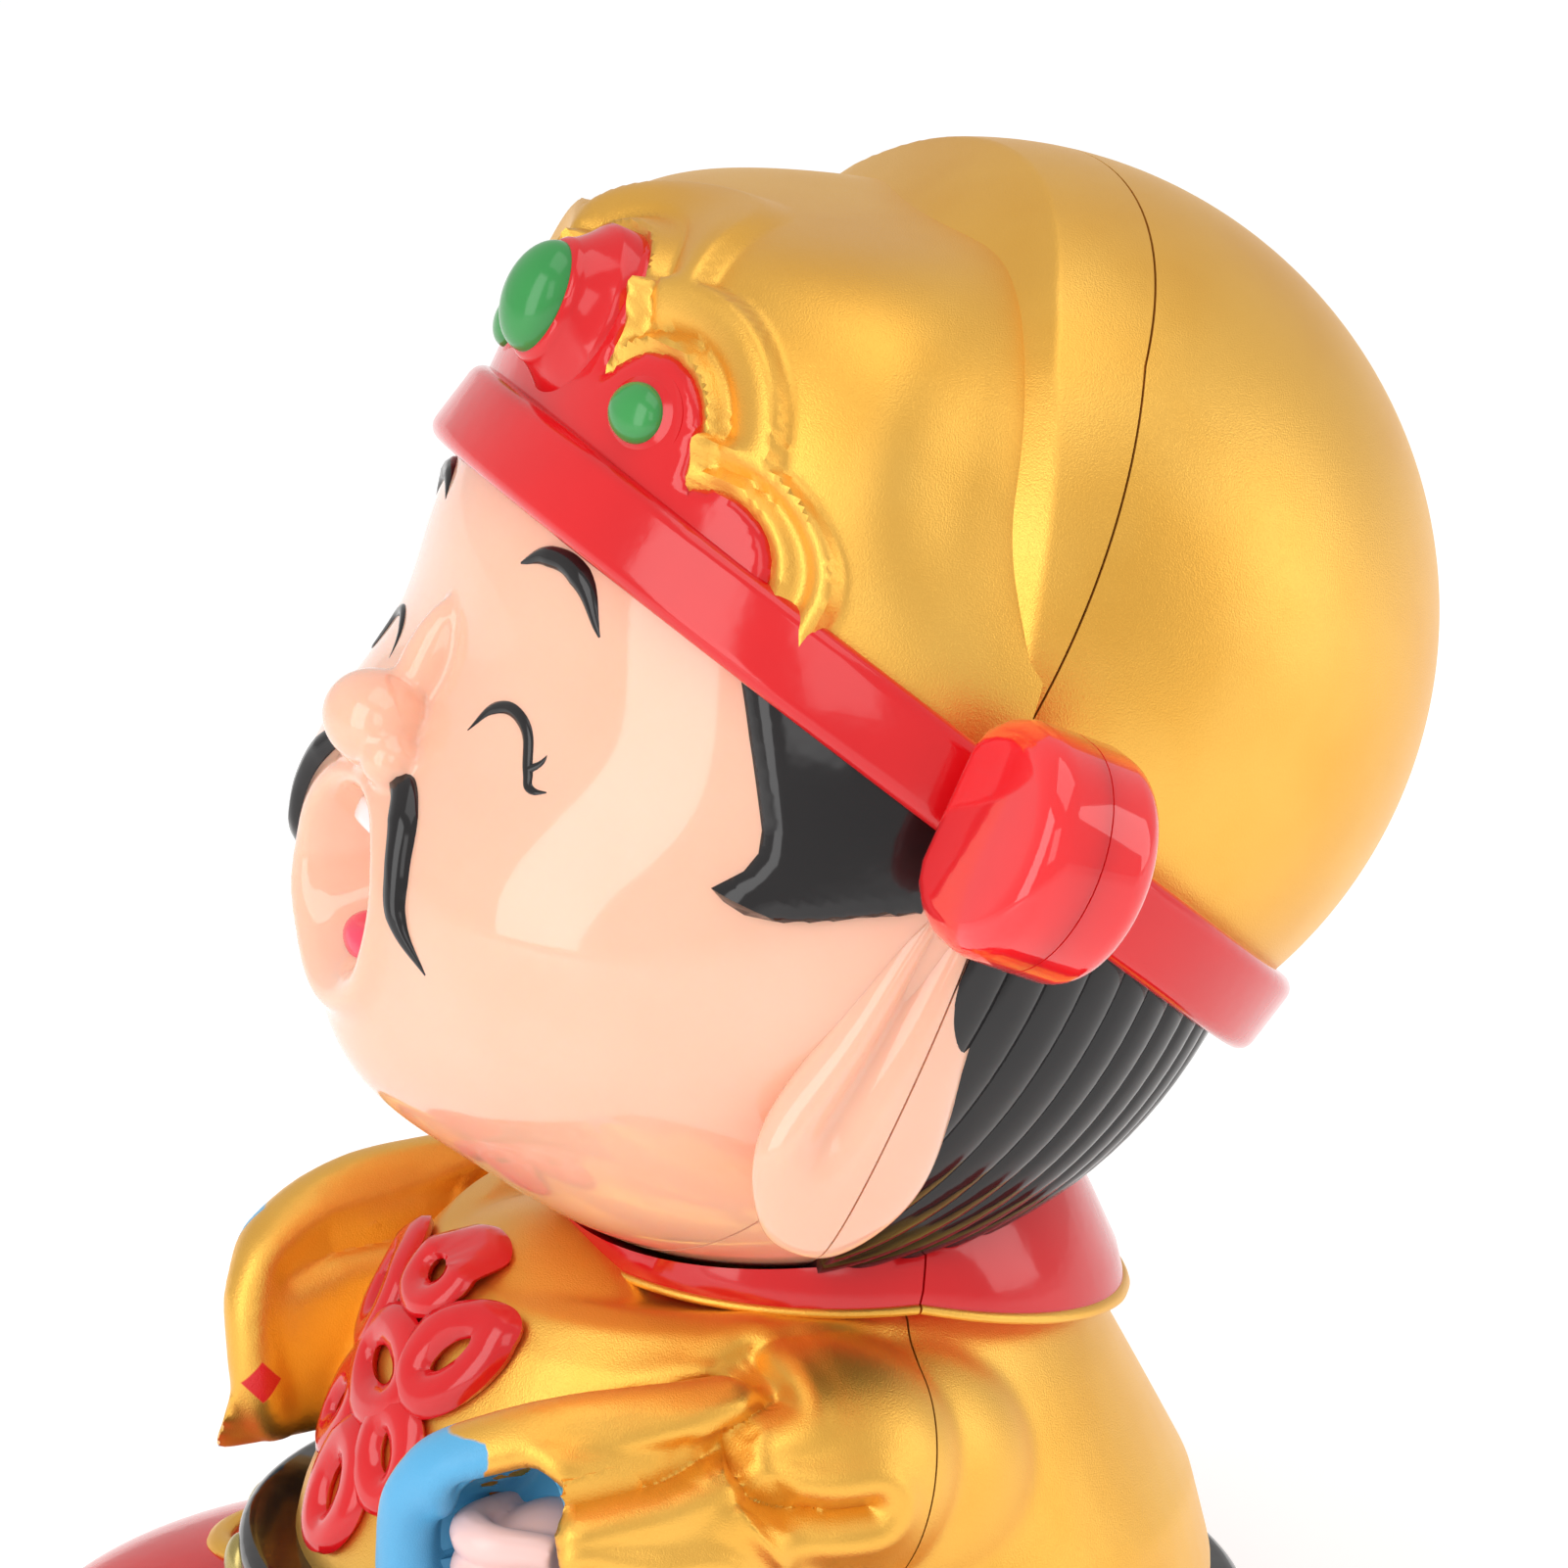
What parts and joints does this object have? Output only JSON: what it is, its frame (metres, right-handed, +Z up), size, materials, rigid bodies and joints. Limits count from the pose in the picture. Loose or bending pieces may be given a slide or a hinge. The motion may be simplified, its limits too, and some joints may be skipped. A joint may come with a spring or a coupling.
{
  "type": "god of wealth figurine",
  "caption": "Small glossy figurine of a seated god of wealth with a large tipped-back head, an official's winged hat, a knot emblem and a low oval base.",
  "frame": {"origin": "on the ground under the middle of the neck, which is the middle of the collar", "axes": "+Z up, the figure faces -Y and its own left hand is at +X"},
  "size_m": [0.0898, 0.0883, 0.1079],
  "materials": {
    "face_shell": "gloss",
    "hat_gold": "pearl gold paint, gloss",
    "wing_red": "clear red gloss",
    "robe_gold": "pearl gold paint, gloss",
    "base_red": "gloss"
  },
  "bodies": {
    "root": {"head_front": "face_shell", "head_back": "hat_gold", "hat_wing_left": "wing_red", "hat_wing_right": "wing_red", "body_front": "robe_gold", "body_back": "robe_gold", "base": "base_red"}
  },
  "joints": []
}
